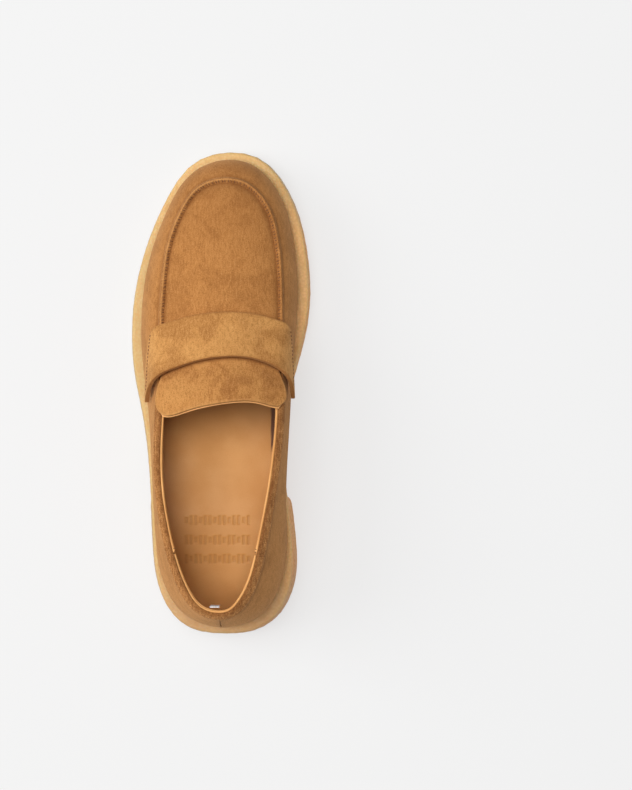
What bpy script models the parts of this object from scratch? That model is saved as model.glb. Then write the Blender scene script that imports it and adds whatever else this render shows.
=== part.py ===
"""Left shoe of a pair of slip-on loafers: suede upper with a plain saddle strap, on a crepe sole.

The frame: +Y points to the toe, +Z up, +X to the inner (medial) side of the foot.
The origin is on the floor, under the middle of the sole. Lengths are in metres.
"""

import bmesh
import bpy
import numpy as np

# Overall sizes
LENGTH = 0.298  # sole, heel to toe
WIDTH = 0.111  # sole, across the ball of the foot
BACK_HEIGHT = 0.066  # topline at the back of the heel, above the midsole

# Sole
HEEL_STACK = 0.030  # floor to the midsole's top under the heel
FORE_STACK = 0.017  # the same under the ball of the foot
TOE_SPRING = 0.007  # how far the toe's tip is lifted off the floor
MIDSOLE_THICKNESS = 0.006
WAIST_OUTSOLE = 0.006  # outsole thickness over the heel block
TOP_PIECE_THICKNESS = 0.007  # the heel's wearing layer
HEEL_LENGTH = 0.086
HEEL_CORNER = 0.005  # radius of the heel's front corners
FLARE = 0.115  # how much the sole widens for each metre downwards
EDGE_ROUND = 0.0012  # rounding of the crepe layers' edges

# Leather, board and foam
SUEDE = 0.0014
STIFFENER = 0.0010
LINING = 0.0010
BOARD = 0.0020
SOCK_FOAM = 0.0030
SOCK_LEATHER = 0.0012
LASTING_MARGIN = 0.011  # suede turned in under the insole board
GAP = 0.0003  # clearance between neighbouring pieces
LAYER_GAP = 0.0004  # clearance between the curved layers of the wall

# Trim
SEAM_RADIUS = 0.0011  # raised seam around the apron
THREAD_RADIUS = 0.00035
SADDLE_THICKNESS = 0.0012  # each of the strap's two layers
COLLAR_BULGE = 0.0014  # how far the padded collar stands proud
COLLAR_ROLL = 0.0019  # radius of the collar's rolled top
SHANK_WIDTH = 0.013
SHANK_LENGTH = 0.105
LABEL_WIDTH = 0.0054
LABEL_HEIGHT = 0.013
LABEL_THICKNESS = 0.0005
LABEL_ASIDE = 0.0027  # from the back seam towards the outer side
LABEL_TILT = 0.0030  # how far its lower end hangs off the lining

# The pattern is drawn in millimetres at this size, then graded to the sizes above.
PATTERN_WIDTH, PATTERN_LENGTH, PATTERN_HEIGHT = 111.1, 298.4, 66.0
GRADE_X = WIDTH / PATTERN_WIDTH
GRADE_Y = LENGTH / PATTERN_LENGTH
GRADE_Z = BACK_HEIGHT / PATTERN_HEIGHT

# Stations round the shoe, from the back of the heel along the outer side to the toe and back.
# Each row: sole edge x, y; feather line x, y; top edge x, y and height above the midsole.
STATIONS = np.array([
    (3.5, -149.2, 2.5, -139.8, 3.2, -129.2, 66.0),  # back of the heel
    (-16.5, -146.5, -14.0, -136.1, -9.6, -125.4, 65.5),
    (-32.0, -134.4, -27.2, -124.6, -18.8, -112.6, 63.0),
    (-40.3, -115.0, -34.4, -107.0, -24.9, -97.5, 59.5),
    (-43.0, -92.0, -36.8, -86.0, -29.6, -80.0, 56.5),
    (-44.2, -66.0, -38.0, -62.0, -33.2, -60.0, 54.0),
    (-45.7, -40.0, -39.5, -38.0, -34.8, -38.0, 52.5),
    (-48.8, -14.0, -41.8, -14.0, -34.4, -15.0, 52.0),
    (-53.2, 8.0, -45.0, 7.0, -33.8, 7.5, 49.5),  # throat, outer side
    (-55.4, 28.0, -47.6, 27.0, -33.7, 28.0, 42.5),
    (-55.1, 50.0, -48.0, 47.5, -33.7, 47.5, 37.0),
    (-51.4, 74.0, -45.6, 71.0, -32.4, 69.0, 34.0),
    (-44.0, 98.0, -39.4, 94.0, -28.9, 91.5, 31.5),
    (-34.0, 120.0, -29.8, 117.0, -21.0, 111.5, 28.5),
    (-18.0, 141.5, -16.0, 136.3, -10.6, 124.3, 26.3),
    (5.5, 149.2, 6.0, 143.6, 4.7, 128.8, 25.5),  # tip of the toe
    (28.1, 143.1, 24.7, 137.5, 19.0, 124.8, 26.0),
    (43.5, 122.9, 37.7, 120.0, 29.7, 112.5, 28.0),
    (51.4, 100.2, 44.2, 98.5, 35.4, 95.0, 31.0),
    (55.1, 75.0, 47.4, 73.0, 37.9, 71.0, 34.0),
    (54.8, 50.0, 47.0, 48.0, 38.3, 47.0, 37.0),
    (50.0, 26.0, 44.8, 25.0, 38.4, 25.5, 43.0),
    (44.0, 4.0, 43.2, 4.0, 39.0, 4.5, 50.0),  # throat, inner side
    (40.8, -18.0, 41.9, -18.0, 39.0, -17.0, 52.5),
    (40.6, -42.0, 40.6, -42.0, 36.8, -40.5, 53.0),
    (43.8, -67.0, 40.1, -66.0, 33.3, -63.5, 54.5),
    (46.7, -92.0, 40.9, -90.0, 28.4, -88.0, 57.5),
    (46.3, -115.3, 38.6, -110.5, 23.2, -108.8, 61.0),
    (37.2, -136.5, 30.6, -128.4, 16.3, -121.9, 64.3),
    (21.2, -147.2, 17.0, -137.7, 11.0, -127.2, 65.8),
])
N_STATIONS = len(STATIONS)
TOE = 15  # station at the tip of the toe
SPLIT = 6.0  # stations from the toe to where the apron ends and the tongue begins
COLLAR_LATERAL, COLLAR_MEDIAL = 7.5, 22.5  # stations where the collar ends and starts
HEEL_LINING_LATERAL, HEEL_LINING_MEDIAL = 3.25, 26.25
VAMP_LINING_LATERAL, VAMP_LINING_MEDIAL = 8.25, 21.75
WALL_TOP_FRONT = 0.94  # share of the wall's height that stops short of the raised seam
COLLAR_SEAM = 0.86  # share of the wall's height where the collar begins
BACK_SEAM = 0.012  # half the slit at the back of the upper, in stations

# Height of the apron and tongue along their middle, above the midsole: (y, height)
CROWN = np.array([
    (-30.0, 70.5), (-12.0, 68.0), (8.0, 62.8), (28.0, 55.0), (46.0, 49.0), (70.0, 44.0),
    (92.0, 39.8), (107.0, 35.8), (119.0, 31.2), (128.8, 25.5), (134.0, 22.0),
])

# Strap: share of the way across, y of its front edge, y of its rear edge
SADDLE = np.array([
    (-1.0, 35.2, -5.2), (-0.93, 36.8, -1.0), (-0.86, 38.6, 4.2), (-0.72, 40.4, 10.0),
    (-0.5, 43.4, 14.7), (-0.25, 45.9, 18.2), (0.0, 47.0, 20.1), (0.25, 47.1, 20.4),
    (0.5, 45.5, 18.4), (0.72, 42.6, 13.2), (0.86, 40.8, 6.8), (0.93, 39.6, 2.2), (1.0, 37.6, -2.8),
])
SADDLE_SEAM = 0.80  # share across at which the strap crosses the raised seam
SADDLE_END_LATERAL = 0.82, 0.60  # share of the wall's height at its end: front, rear
SADDLE_END_MEDIAL = 0.80, 0.52
SADDLE_SWELL = 0.0030  # how far its rear edge stands off over the tongue's sides

# Tongue: its side edges from the root back, then its rear edge from side to side (x, y)
TONGUE_LATERAL = np.array([(-31.2, 27.3), (-31.6, 14.0), (-34.6, 4.0), (-36.0, -7.0)])
TONGUE_MEDIAL = np.array([(36.0, 25.2), (37.2, 14.0), (40.6, 5.0), (42.0, -3.0)])
TONGUE_REAR = np.array([
    (-36.0, -7.0), (-35.2, -10.4), (-32.4, -12.8), (-27.5, -13.4), (-23.2, -12.3),
    (-17.1, -9.6), (-8.2, -7.3), (0.6, -5.5), (9.3, -4.4), (17.9, -3.8), (23.6, -4.1),
    (29.3, -5.5), (35.0, -7.9), (38.4, -8.2), (41.3, -6.2), (42.0, -3.0),
])
TONGUE_LIFT = 0.0016 + SUEDE + LINING  # how far the free flap's sides stand above the topline
TONGUE_AXIS_Y = 21.5  # the flap bends along the strap's rear edge

RING_UPPER = 60  # ribs round the upper
RING_SOLE = 80  # points round the sole
RING_HEEL = 40  # points round the heel
# How the crepe's edge is rounded: share of the layer's height, share of the rounding
EDGE_PROFILE = ((0.0, 1.0), (0.18, 0.25), (0.5, 0.0), (0.82, 0.25), (1.0, 1.0))


def smooth(low, high, value):
    """0 below low, 1 above high, and an S curve between."""
    share = np.clip((value - low) / (high - low), 0, 1)
    return share * share * (3 - 2 * share)


def closed_spline(points, at):
    """A smooth closed curve through the points, read at station numbers."""
    points = np.asarray(points, float)
    count = len(points)
    unit = np.eye(count)
    system = 4 * unit + np.roll(unit, 1, 0) + np.roll(unit, -1, 0)
    change = np.roll(points, -1, 0) - 2 * points + np.roll(points, 1, 0)
    bend = np.linalg.solve(system, 6 * change)
    at = np.asarray(at, float)
    low = np.floor(at).astype(int)
    after = (at - low)[..., None]
    before = 1 - after
    a, b = low % count, (low + 1) % count
    straight = before * points[a] + after * points[b]
    return straight + ((before**3 - before) * bend[a] + (after**3 - after) * bend[b]) / 6


def open_spline(knots, values, at):
    """A smooth curve through values at the knots, read at any place between them."""
    knots, values = np.asarray(knots, float), np.asarray(values, float)
    count = len(knots)
    step = np.diff(knots)
    slope = np.diff(values) / step
    system = np.eye(count)
    change = np.zeros(count)
    for i in range(1, count - 1):
        system[i, i - 1:i + 2] = step[i - 1], 2 * (step[i - 1] + step[i]), step[i]
        change[i] = 6 * (slope[i] - slope[i - 1])
    bend = np.linalg.solve(system, change)
    i = np.clip(np.searchsorted(knots, at, side="right") - 1, 0, count - 2)
    after = (at - knots[i]) / step[i]
    before = 1 - after
    curve = (before**3 - before) * bend[i] + (after**3 - after) * bend[i + 1]
    return before * values[i] + after * values[i + 1] + curve * step[i] ** 2 / 6


# ---- sole heights -------------------------------------------------------------------------

HEEL_FRONT = -LENGTH / 2 + HEEL_LENGTH
BALL = 0.15 * LENGTH  # the floor contact ends here and the toe spring begins


def spring(y):
    """How far the sole's underside is lifted off the floor by the toe spring."""
    return TOE_SPRING * np.clip((y - BALL) / (LENGTH / 2 - BALL), 0, 1.1) ** 2


def sole_top(y):
    """Height of the midsole's top."""
    drop = smooth(HEEL_FRONT, 0.05 * LENGTH, y)
    return HEEL_STACK + (FORE_STACK - HEEL_STACK) * drop + spring(y)


def outsole_top(y):
    return sole_top(y) - MIDSOLE_THICKNESS - GAP


def outsole_bottom(y):
    """The outsole is thin over the heel and reaches the floor under the ball of the foot."""
    over_heel = outsole_top(y) - WAIST_OUTSOLE
    return over_heel * (1 - smooth(HEEL_FRONT, 0.03 * LENGTH, y)) + spring(y)


# ---- outlines and surfaces ----------------------------------------------------------------

def graded(columns):
    return STATIONS[:, columns] * (GRADE_X, GRADE_Y)


def plan_normals(loop):
    """Outward directions in plan along a loop that runs clockwise as seen from above."""
    along = np.roll(loop, -1, 0) - np.roll(loop, 1, 0)
    out = np.stack([-along[:, 1], along[:, 0]], 1)
    return out / np.linalg.norm(out, axis=1)[:, None]


def plan_loop(columns, at, inset=0.0):
    """A station loop in plan, moved inwards by inset."""
    points = graded(columns)
    step = 0.05
    along = closed_spline(points, at + step) - closed_spline(points, at - step)
    out = np.stack([-along[..., 1], along[..., 0]], -1)
    out /= np.linalg.norm(out, axis=-1)[..., None]
    return closed_spline(points, at) - out * inset, out


def sole_loop(at, inset=0.0):
    return plan_loop([0, 1], at, inset)[0]


def top_edge(at):
    """The wall's top edge: the apron seam in front, the topline behind."""
    plan = closed_spline(graded([4, 5]), at)
    height = closed_spline(STATIONS[:, 6:7] * GRADE_Z, at)[..., 0]
    return np.concatenate([plan, (sole_top(plan[..., 1]) + height)[..., None]], -1)


def wall_outer(at, share):
    """A point of the upper's outer surface: at is a station number, share 0 is the feather line."""
    foot, out = plan_loop([2, 3], at)
    foot = np.concatenate([foot, (sole_top(foot[..., 1]) + GAP)[..., None]], -1)
    out = np.concatenate([out, np.zeros_like(out[..., :1])], -1)
    top = top_edge(at)
    height = (top - foot)[..., 2:3]
    run = np.linalg.norm((top - foot)[..., :2], axis=-1)[..., None]
    front = smooth(-0.07 * LENGTH, 0.15 * LENGTH, top[..., 1:2])
    up = np.array([0.0, 0.0, 1.0])
    low = foot + out * (0.055 + 0.015 * (1 - front)) * height + up * 0.42 * height
    high = top + out * (0.34 + 0.22 * front) * run - up * (0.30 - 0.19 * front) * height
    s = np.asarray(share)[..., None]
    return ((1 - s) ** 3 * foot + 3 * s * (1 - s) ** 2 * low
            + 3 * s**2 * (1 - s) * high + s**3 * top)


def wall(at, share, offset=0.0):
    """The outer surface moved outwards by offset."""
    at, share = np.broadcast_arrays(np.asarray(at, float), np.asarray(share, float))
    step = 0.04
    along = wall_outer(at + step, share) - wall_outer(at - step, share)
    inner = np.clip(share, 0, 0.97)
    upward = wall_outer(at, inner + 0.03) - wall_outer(at, inner)
    normal = np.cross(along, upward)
    normal /= -np.linalg.norm(normal, axis=-1)[..., None]
    return wall_outer(at, share) + normal * np.asarray(offset)[..., None]


DENSE = np.linspace(0, N_STATIONS, 1501)
EDGE_DENSE = top_edge(DENSE)
LATERAL_SIDE = (DENSE >= 4) & (DENSE <= TOE)
MEDIAL_SIDE = (DENSE >= TOE) & (DENSE <= 26)


def edge_at(y, side):
    """x and z of the wall's top edge, and its station, where it crosses y."""
    points, stations = EDGE_DENSE[side], DENSE[side]
    order = np.argsort(points[:, 1])
    along = points[order, 1]
    return [np.interp(y, along, column[order]) for column in (points[:, 0], points[:, 2], stations)]


def top_height(x, y):
    """Height of the apron and tongue over a place in plan."""
    x_lateral, z_lateral, _ = edge_at(y, LATERAL_SIDE)
    x_medial, z_medial, _ = edge_at(y, MEDIAL_SIDE)
    half = np.maximum((x_medial - x_lateral) / 2, 0.004)
    across = (x - (x_medial + x_lateral) / 2) / half
    side = z_lateral + (z_medial - z_lateral) * (across + 1) / 2
    crown = sole_top(y) + open_spline(CROWN[:, 0] * GRADE_Y, CROWN[:, 1] * GRADE_Z, y)
    return side + (crown - side) * (1 - across**2)


def on_top(x, y, offset=0.0):
    """The apron's surface over (x, y), moved outwards by offset."""
    step = 0.0008
    slope_x = (top_height(x + step, y) - top_height(x - step, y)) / (2 * step)
    slope_y = (top_height(x, y + step) - top_height(x, y - step)) / (2 * step)
    normal = np.stack([-slope_x, -slope_y, np.ones_like(slope_x)], -1)
    normal /= np.linalg.norm(normal, axis=-1)[..., None]
    return np.stack([x, y, top_height(x, y)], -1) + normal * np.asarray(offset)[..., None]


# ---- solids -------------------------------------------------------------------------------

PALETTE = {
    "suede": ((0.47, 0.23, 0.075, 1), 0.92),
    "leather": ((0.58, 0.30, 0.11, 1), 0.5),
    "crepe": ((0.80, 0.56, 0.28, 1), 0.6),
    "board": ((0.55, 0.42, 0.28, 1), 0.85),
    "foam": ((0.80, 0.76, 0.66, 1), 0.9),
    "stiffener": ((0.72, 0.66, 0.55, 1), 0.8),
    "cork": ((0.50, 0.32, 0.17, 1), 0.9),
    "steel": ((0.55, 0.56, 0.58, 1), 0.35),
    "thread": ((0.42, 0.22, 0.09, 1), 0.8),
    "label": ((0.90, 0.90, 0.90, 1), 0.8),
}


def material(name):
    found = bpy.data.materials.get(name)
    if found:
        return found
    colour, roughness = PALETTE[name]
    made = bpy.data.materials.new(name)
    made.use_nodes = True
    shader = made.node_tree.nodes["Principled BSDF"]
    shader.inputs["Base Color"].default_value = colour
    shader.inputs["Roughness"].default_value = roughness
    shader.inputs["Metallic"].default_value = 1.0 if name == "steel" else 0.0
    return made


def make_object(name, points, faces, finish, parent=None, origin=(0, 0, 0)):
    """One closed mesh object; doubled points, as at a tip, are merged and the faces turned out."""
    mesh = bpy.data.meshes.new(name)
    origin = np.asarray(origin, float)
    mesh.from_pydata([tuple(p) for p in np.asarray(points) - origin], [], faces)
    shape = bmesh.new()
    shape.from_mesh(mesh)
    bmesh.ops.remove_doubles(shape, verts=shape.verts, dist=0.00002)
    bmesh.ops.recalc_face_normals(shape, faces=shape.faces)
    shape.to_mesh(mesh)
    shape.free()
    mesh.materials.append(material(finish))
    mesh.shade_smooth()
    mesh.set_sharp_from_angle(angle=0.7)
    made = bpy.data.objects.new(name, mesh)
    bpy.context.scene.collection.objects.link(made)
    if parent:
        made.parent = parent
    else:
        made.location = origin
    return made


def grid_faces(rows, columns, start, closed):
    """Quads of a grid of points, joined round its first direction if it is closed."""
    faces = []
    for i in range(rows if closed else rows - 1):
        for j in range(columns - 1):
            a, b = start + i * columns + j, start + (i + 1) % rows * columns + j
            faces.append((a, b, b + 1, a + 1))
    return faces


def shell(name, outer, inner, finish, closed=False, **placing):
    """A closed solid between two grids of points of the same size."""
    rows, columns = outer.shape[:2]
    count = rows * columns
    faces = grid_faces(rows, columns, 0, closed)
    faces += [face[::-1] for face in grid_faces(rows, columns, count, closed)]
    for column in (0, columns - 1):
        for i in range(rows if closed else rows - 1):
            a, b = i * columns + column, (i + 1) % rows * columns + column
            rim = (a, b, b + count, a + count)
            faces.append(rim if column else rim[::-1])
    if not closed:
        for row in (0, rows - 1):
            for j in range(columns - 1):
                a = row * columns + j
                rim = (a, a + 1, a + 1 + count, a + count)
                faces.append(rim[::-1] if row else rim)
    points = np.concatenate([outer.reshape(-1, 3), inner.reshape(-1, 3)])
    return make_object(name, points, faces, finish, **placing)


def tube(name, path, radius, sides, finish):
    """A round cord along a path, closed at both ends."""
    data = bpy.data.curves.new(name, "CURVE")
    data.dimensions = "3D"
    data.bevel_depth = radius
    data.bevel_resolution = sides
    data.use_fill_caps = True
    line = data.splines.new("POLY")
    line.points.add(len(path) - 1)
    for point, place in zip(line.points, path):
        point.co = (*place, 1)
    data.materials.append(material(finish))
    made = bpy.data.objects.new(name, data)
    bpy.context.scene.collection.objects.link(made)
    return made


# ---- sole pieces --------------------------------------------------------------------------

def flare_inset(y, low, high):
    """How far a layer between two heights stands back from the sole's widest outline."""
    middle = (low(y) + high(y)) / 2 - spring(y)
    return FLARE * np.clip(middle - FORE_STACK / 3, 0, None)


def sole_rings(low, high):
    """Rings up a layer that goes all round the sole."""
    at = np.arange(RING_SOLE) * N_STATIONS / RING_SOLE
    inset = flare_inset(sole_loop(at)[:, 1], low, high)
    rings = []
    for share, more in EDGE_PROFILE:
        plan = sole_loop(at, (inset + more * EDGE_ROUND)[:, None])
        y = plan[:, 1]
        rings.append(np.concatenate([plan, (low(y) + share * (high(y) - low(y)))[:, None]], 1))
    return rings


def heel_rings(low, high):
    """Rings up a layer of the heel, open across its front face."""
    at = np.linspace(-N_STATIONS / 4, N_STATIONS / 4, 1200)
    inset = flare_inset(sole_loop(at)[:, 1], low, high)
    rings = []
    for share, more in EDGE_PROFILE:
        plan = sole_loop(at, (inset + more * EDGE_ROUND)[:, None])
        behind = plan[plan[:, 1] < HEEL_FRONT]
        along = np.linalg.norm(np.diff(behind, axis=0), axis=1)
        along = np.concatenate([[0], np.cumsum(along)])
        corner = HEEL_CORNER * np.array([0, 0.12, 0.4, 0.8])
        places = np.linspace(1.3 * HEEL_CORNER, along[-1] - 1.3 * HEEL_CORNER, RING_HEEL - 8)
        places = np.concatenate([corner, places, along[-1] - corner[::-1]])
        plan = np.stack([np.interp(places, along, behind[:, k]) for k in (0, 1)], 1)
        plan[[0, -1], 1] = HEEL_FRONT
        y = plan[:, 1]
        into = np.clip(y - HEEL_FRONT + HEEL_CORNER, 0, HEEL_CORNER)
        pull = HEEL_CORNER - np.sqrt(HEEL_CORNER**2 - into**2)
        plan[:, 0] -= np.sign(plan[:, 0]) * pull
        rings.append(np.concatenate([plan, (low(y) + share * (high(y) - low(y)))[:, None]], 1))
    return rings


def plate(name, rings, finish, closed=True):
    """A solid from rings, bottom to top. Strips from side to side close its two faces."""
    count, levels = len(rings[0]), len(rings)
    faces = grid_faces(count, levels, 0, closed)
    last = (count - 1) * levels
    if not closed:
        faces += [(j + 1, j, last + j, last + j + 1) for j in range(levels - 1)]
    for level in (0, levels - 1):
        for i in range(count // 2):
            ends = (i, i + 1, count - i - 1, count - i) if closed else (
                i, i + 1, count - i - 2, count - i - 1)
            strip = [k % count * levels + level for k in ends]
            strip = list(dict.fromkeys(strip))
            if len(strip) > 2:
                faces.append(strip)
    return make_object(name, np.stack(rings, 1).reshape(-1, 3), faces, finish)


def build_sole():
    rings = sole_rings(lambda y: sole_top(y) - MIDSOLE_THICKNESS, sole_top)
    plate("midsole", rings, "crepe")
    plate("outsole", sole_rings(outsole_bottom, outsole_top), "crepe")
    rings = heel_rings(lambda y: 0 * y + TOP_PIECE_THICKNESS + GAP,
                       lambda y: outsole_bottom(y) - GAP)
    plate("heel_block", rings, "crepe", closed=False)
    rings = heel_rings(lambda y: 0 * y, lambda y: 0 * y + TOP_PIECE_THICKNESS)
    plate("heel_top_piece", rings, "crepe", closed=False)


# ---- inside of the shoe -------------------------------------------------------------------

WALL_DEPTH = SUEDE + STIFFENER + LINING + 2 * LAYER_GAP  # outer surface to the lining's inside
ON_MARGIN = GAP + SUEDE + GAP  # midsole to what rests on the lasting margin


def inside_ring(rise):
    """A ring just inside the lining, at a height above the midsole."""
    at = np.arange(RING_UPPER) * N_STATIONS / RING_UPPER
    shares = np.linspace(0, 0.5, 41)
    inside = wall(at[:, None], shares[None, :], -(WALL_DEPTH + GAP))
    height = inside[..., 2] - sole_top(inside[..., 1])
    plan = np.array([[np.interp(rise, h, p[:, k]) for k in (0, 1)]
                     for h, p in zip(height, inside)])
    return np.concatenate([plan, (sole_top(plan[:, 1]) + rise)[:, None]], 1)


def inner_plate(name, rise, thickness, finish):
    plate(name, [inside_ring(rise), inside_ring(rise + thickness)], finish)
    return rise + thickness + GAP


def build_bottom():
    """Shank and filler lie between the lasting margins; board, foam and sock lie over them."""
    rise = inner_plate("insole_board", ON_MARGIN, BOARD, "board")
    rise = inner_plate("sock_foam", rise, SOCK_FOAM, "foam")
    inner_plate("sock_lining", rise, SOCK_LEATHER, "leather")

    centre = 0.9 * GRADE_X * 0.001
    back = -LENGTH / 2 + 0.1 * LENGTH
    y = np.linspace(back, back + SHANK_LENGTH, 14)
    across = np.array([-1.0, 1.0]) * SHANK_WIDTH / 2 + centre
    low = np.stack([np.stack([np.full_like(y, x), y, sole_top(y) + GAP], 1) for x in across], 1)
    high = low + (0, 0, SUEDE)
    shell("shank", high, low, "steel")

    front = y[-1] + 2 * GAP
    at = np.arange(240) * N_STATIONS / 240
    margin = plan_loop([2, 3], at, LASTING_MARGIN + 3 * GAP)[0]
    toe_y = margin[:, 1].max() - 2 * GAP
    y = front + (toe_y - front) * np.sin(np.linspace(0, np.pi / 2, 16))
    sides = []
    for side in (margin[:121], margin[120:]):
        order = np.argsort(side[:, 1])
        sides.append(np.interp(y, side[order, 1], side[order, 0]))
    low = np.stack([np.stack([x, y, sole_top(y) + GAP], 1) for x in sides], 1)
    shell("forefoot_filler", low + (0, 0, SUEDE), low, "cork")


# ---- upper --------------------------------------------------------------------------------

WALL_ROWS = 7


def ribs(front, back):
    """Stations from front to back: the two ends and the shared ribs between them."""
    if back < front:
        back += N_STATIONS
    step = N_STATIONS / RING_UPPER
    between = np.arange(np.ceil(front / step), back / step) * step
    between = between[(between > front + 0.2 * step) & (between < back - 0.2 * step)]
    return np.concatenate([[front], between, [back]])


def row_shares(at, rows, *tops):
    """Shares of the wall's height: its own rows first, then further ones."""
    station = at % N_STATIONS
    front = smooth(COLLAR_LATERAL, COLLAR_LATERAL + 0.5, station)
    front *= 1 - smooth(COLLAR_MEDIAL - 0.5, COLLAR_MEDIAL, station)
    wall_top = COLLAR_SEAM + (WALL_TOP_FRONT - COLLAR_SEAM) * front
    own = wall_top[:, None] * (np.arange(rows) / (WALL_ROWS - 1))[None, :]
    return np.concatenate([own] + [np.full((len(at), 1), top) for top in tops], 1)


def build_side_wall():
    """One piece of suede round the foot, turned in under the insole board, open at the back."""
    at = ribs(BACK_SEAM, N_STATIONS - BACK_SEAM)
    shares = row_shares(at, WALL_ROWS)
    outer = wall(at[:, None], shares)
    inner = wall(at[:, None], shares, -SUEDE)
    for grid, inset, rise in ((outer, 0.0, GAP), (inner, SUEDE, GAP + SUEDE)):
        plan, _ = plan_loop([2, 3], at, inset)
        grid[:, 0] = np.concatenate([plan, sole_top(plan[:, 1:]) + rise], 1)
    margin, _ = plan_loop([2, 3], at, LASTING_MARGIN)
    low = np.concatenate([margin, sole_top(margin[:, 1:]) + GAP], 1)
    outer = np.concatenate([low[:, None], outer], 1)
    inner = np.concatenate([low[:, None] + (0, 0, SUEDE), inner], 1)
    shell("side_wall", outer, inner, "suede")


def wall_layer(name, front, back, depth, thickness, finish, rows, *tops):
    """A layer inside the wall between two stations, standing on the lasting margin."""
    at = ribs(front, back)
    shares = row_shares(at, rows, *tops)
    foot, top = wall_outer(at, 0 * at), top_edge(at)
    shares[:, 0] = (ON_MARGIN - 0.5 * GAP) / (1.26 * (top - foot)[:, 2])
    outer = wall(at[:, None], shares, -depth)
    inner = wall(at[:, None], shares, -depth - thickness)
    for grid in (outer, inner):
        grid[:, 0, 2] = sole_top(grid[:, 0, 1]) + ON_MARGIN
    return shell(name, outer, inner, finish)


def build_inner_layers():
    depth = SUEDE + LAYER_GAP
    wall_layer("heel_counter", 25.5, 4.5, depth, STIFFENER, "stiffener", 6, 0.79)
    wall_layer("toe_puff", 11.5, 18.5, depth, STIFFENER, "stiffener", 6)
    depth += STIFFENER + LAYER_GAP
    edge = 0.02  # stations between neighbouring linings
    wall_layer("heel_lining", HEEL_LINING_MEDIAL + edge, HEEL_LINING_LATERAL - edge, depth,
               LINING, "leather", 7, 0.93, 1.0)
    wall_layer("quarter_lining_lateral", HEEL_LINING_LATERAL + edge, VAMP_LINING_LATERAL - edge,
               depth, LINING, "leather", 7, 0.95, 1.0)
    wall_layer("quarter_lining_medial", VAMP_LINING_MEDIAL + edge, HEEL_LINING_MEDIAL - edge,
               depth, LINING, "leather", 7, 0.95, 1.0)
    wall_layer("vamp_lining", VAMP_LINING_LATERAL + edge, VAMP_LINING_MEDIAL - edge,
               depth, LINING, "leather", 6, 0.90)


def collar_grid(at, lift):
    """The collar's surface from its seam over the rolled top; lift moves it outwards."""
    shares = np.array([0.875, 0.91, 0.95])
    bulge = COLLAR_BULGE * np.array([0.2, 0.9, 1.0])
    lower = wall(at[:, None], shares[None, :], bulge + lift)
    top = top_edge(at)
    _, out = plan_loop([4, 5], at)
    out = np.concatenate([out, np.zeros((len(at), 1))], 1)
    up = np.array([0.0, 0.0, 1.0])
    centre = top - (out + up) * COLLAR_ROLL
    radius = COLLAR_ROLL + 0.5 * COLLAR_BULGE + lift
    turns = np.radians([20, 50, 80, 110])
    roll = np.stack([centre + radius * (np.cos(a) * out + np.sin(a) * up) for a in turns], 1)
    return np.concatenate([lower, roll], 1)


def build_collar():
    at = ribs(COLLAR_MEDIAL, COLLAR_LATERAL)
    skin = 0.8 * SUEDE
    shell("collar", collar_grid(at, 0.0), collar_grid(at, -skin), "suede")
    outer = collar_grid(at, -skin - GAP)[:, :4]
    shares = np.array([0.875, 0.91, 0.945, 0.965])
    inner = wall(at[:, None], shares[None, :], -(SUEDE + GAP + STIFFENER))
    shell("collar_foam", outer, inner, "foam")


def apron_grid(q_values, edge, offset, columns):
    """Rows across the apron, from its tip backwards; edge is how far it stays inside the seam."""
    lateral = plan_loop([4, 5], TOE - q_values, edge)[0]
    medial = plan_loop([4, 5], TOE + q_values, edge)[0]
    across = np.linspace(0, 1, columns)[None, :, None]
    plan = lateral[:, None] * (1 - across) + medial[:, None] * across
    return on_top(plan[..., 0], plan[..., 1], offset)


def build_apron():
    edge = SEAM_RADIUS + GAP + 0.0002
    q = SPLIT * np.linspace(0.0, 1.0, 17) ** 1.2
    shell("apron", apron_grid(q, edge, 0.0, 10), apron_grid(q, edge, -SUEDE, 10), "suede")
    depth = SUEDE + GAP
    inset = edge + STIFFENER + LINING + 0.003
    shell("apron_lining", apron_grid(q, inset, -depth, 8),
          apron_grid(q, inset, -depth - LINING, 8), "leather")

    at = np.linspace(TOE - SPLIT + 0.15, TOE + SPLIT - 0.15, 45)
    path = top_edge(at) + (0, 0, 0.3 * SEAM_RADIUS)
    tube("raised_seam", path, SEAM_RADIUS, 2, "suede")


def tongue_grid(edge, offset, columns=13, rows=9):
    """Rows from the root under the strap to the free rear edge; edge widens the outline."""
    def side(points):
        knots = np.linspace(0, 1, len(points))
        at = np.linspace(0, 1, rows)
        return np.stack([open_spline(knots, points[:, k], at) for k in (0, 1)], 1)

    lateral, medial = side(TONGUE_LATERAL), side(TONGUE_MEDIAL)
    span = TONGUE_REAR[:, 0]
    share = (span - span[0]) / (span[-1] - span[0])
    across = (1 - np.cos(np.linspace(0, np.pi, columns))) / 2
    across = 0.5 * across + 0.5 * np.linspace(0, 1, columns)
    rear_y = np.interp(across, share, TONGUE_REAR[:, 1])
    straight = lateral[-1, 1] * (1 - across) + medial[-1, 1] * across
    plan = lateral[:, None] * (1 - across[None, :, None]) + medial[:, None] * across[None, :, None]
    reach = np.linspace(0, 1, rows) ** 1.5
    plan[..., 1] += reach[:, None] * (rear_y - straight)[None, :]
    plan *= (GRADE_X, GRADE_Y)
    centre = plan.mean(1, keepdims=True)
    plan += edge * np.sign(plan - centre) * reach[:, None, None] * (1, -1)
    free = 1 - smooth(0.0, 0.075 * LENGTH, plan[..., 1])
    side = np.abs(np.linspace(-1, 1, columns))[None, :] ** 2
    grid = on_top(plan[..., 0], plan[..., 1], offset)
    grid[..., 2] += TONGUE_LIFT * free * (0.4 + 0.6 * side)
    return grid


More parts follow.
